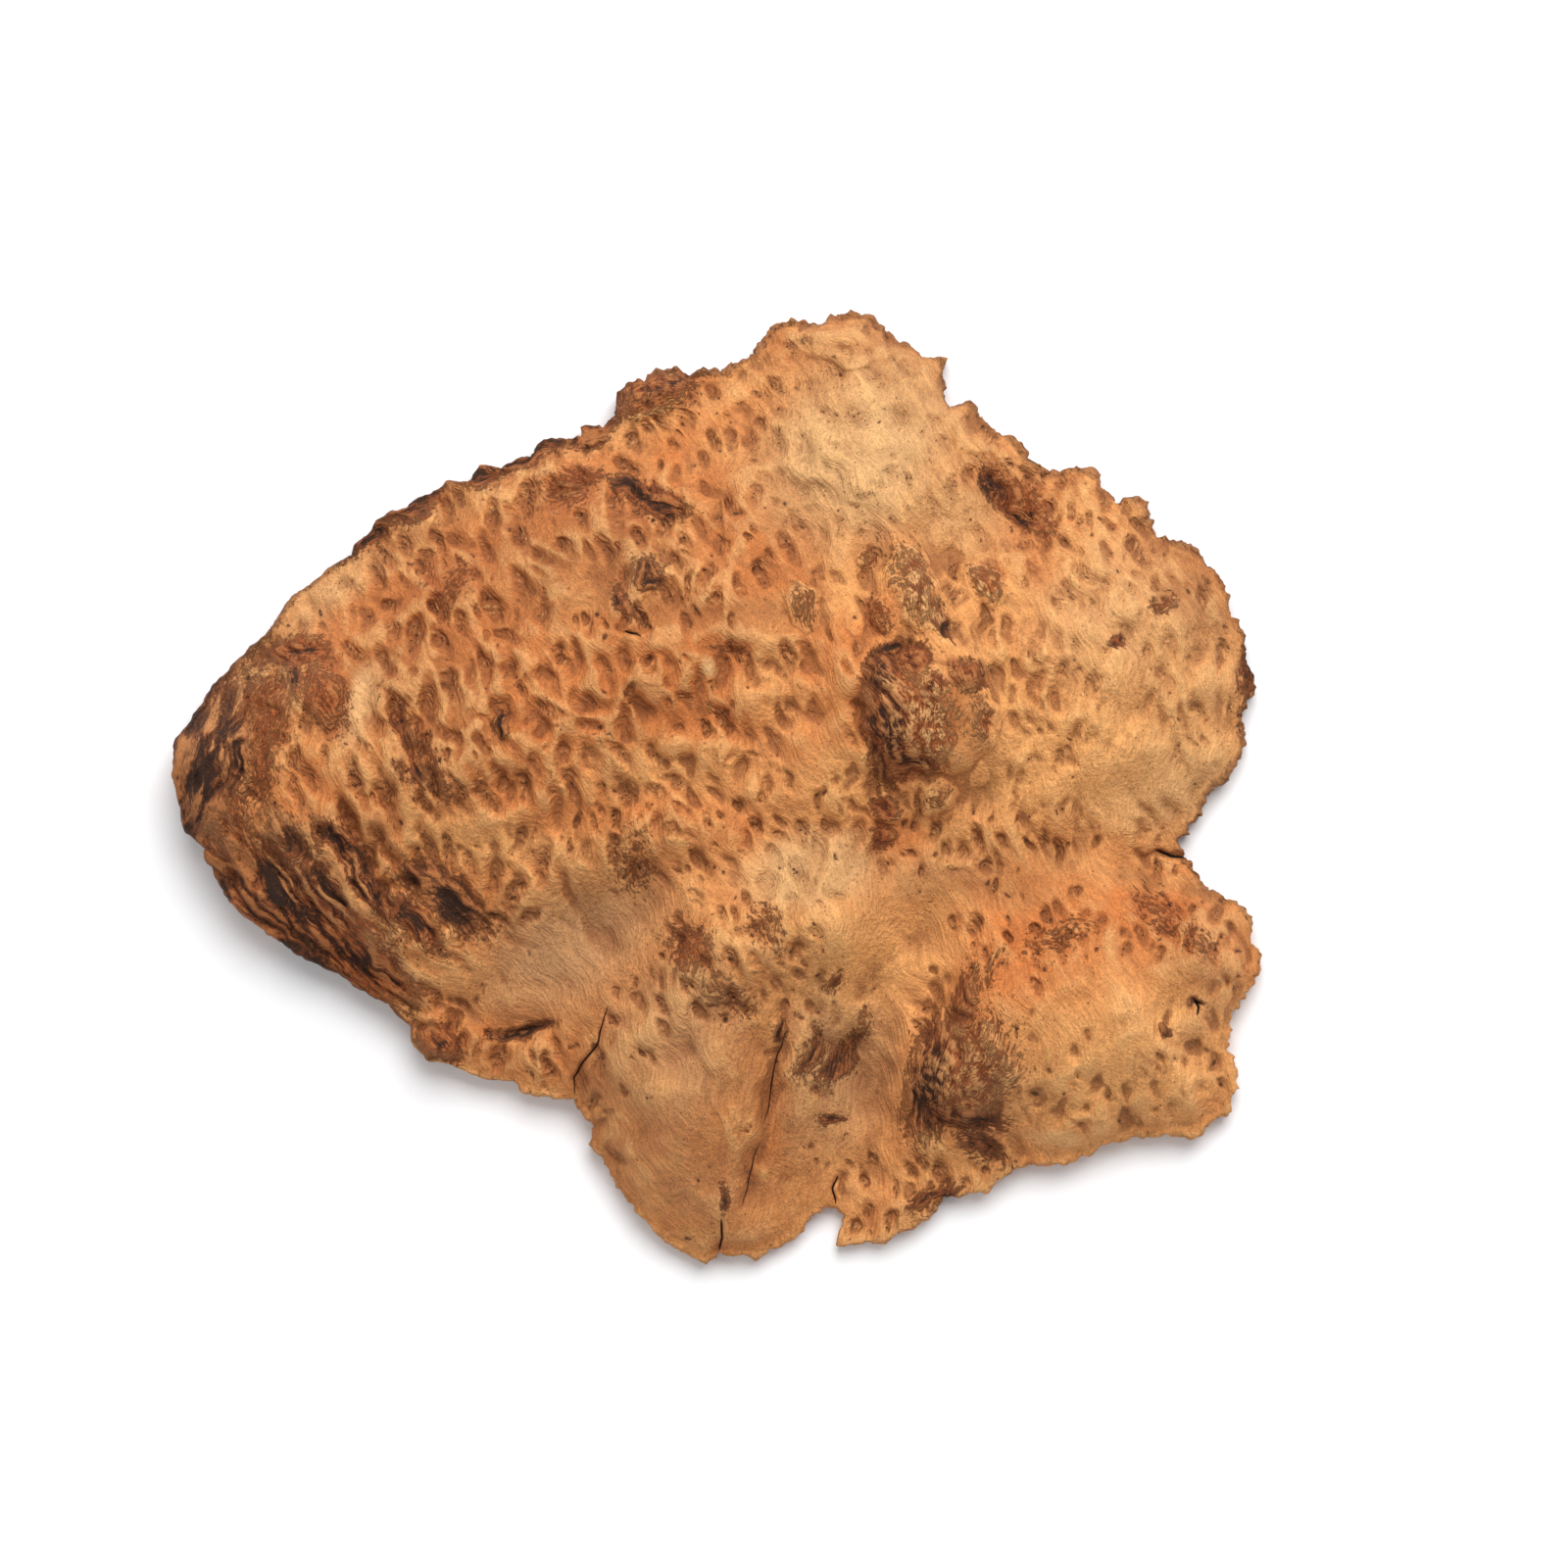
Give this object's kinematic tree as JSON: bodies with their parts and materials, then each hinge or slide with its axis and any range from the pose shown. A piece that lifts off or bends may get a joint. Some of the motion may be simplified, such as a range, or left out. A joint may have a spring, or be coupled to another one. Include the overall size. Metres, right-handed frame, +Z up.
{
  "type": "mallee burl cap",
  "caption": "Natural slab of burl wood with a flat sawn underside and a domed, knobbly, bark-stripped top with a ragged live edge.",
  "frame": {"origin": "middle of the outline's box, on the sawn underside", "axes": "+Z up from the saw cut through the dome, +X from the left tip to the right lobe, +Y towards the crown"},
  "size_m": [0.38, 0.3312, 0.0749],
  "materials": {
    "burl_wood": "bare weathered burl wood, matt, with brown bark remains"
  },
  "bodies": {
    "root": {"burl_cap": "burl_wood"}
  },
  "joints": []
}
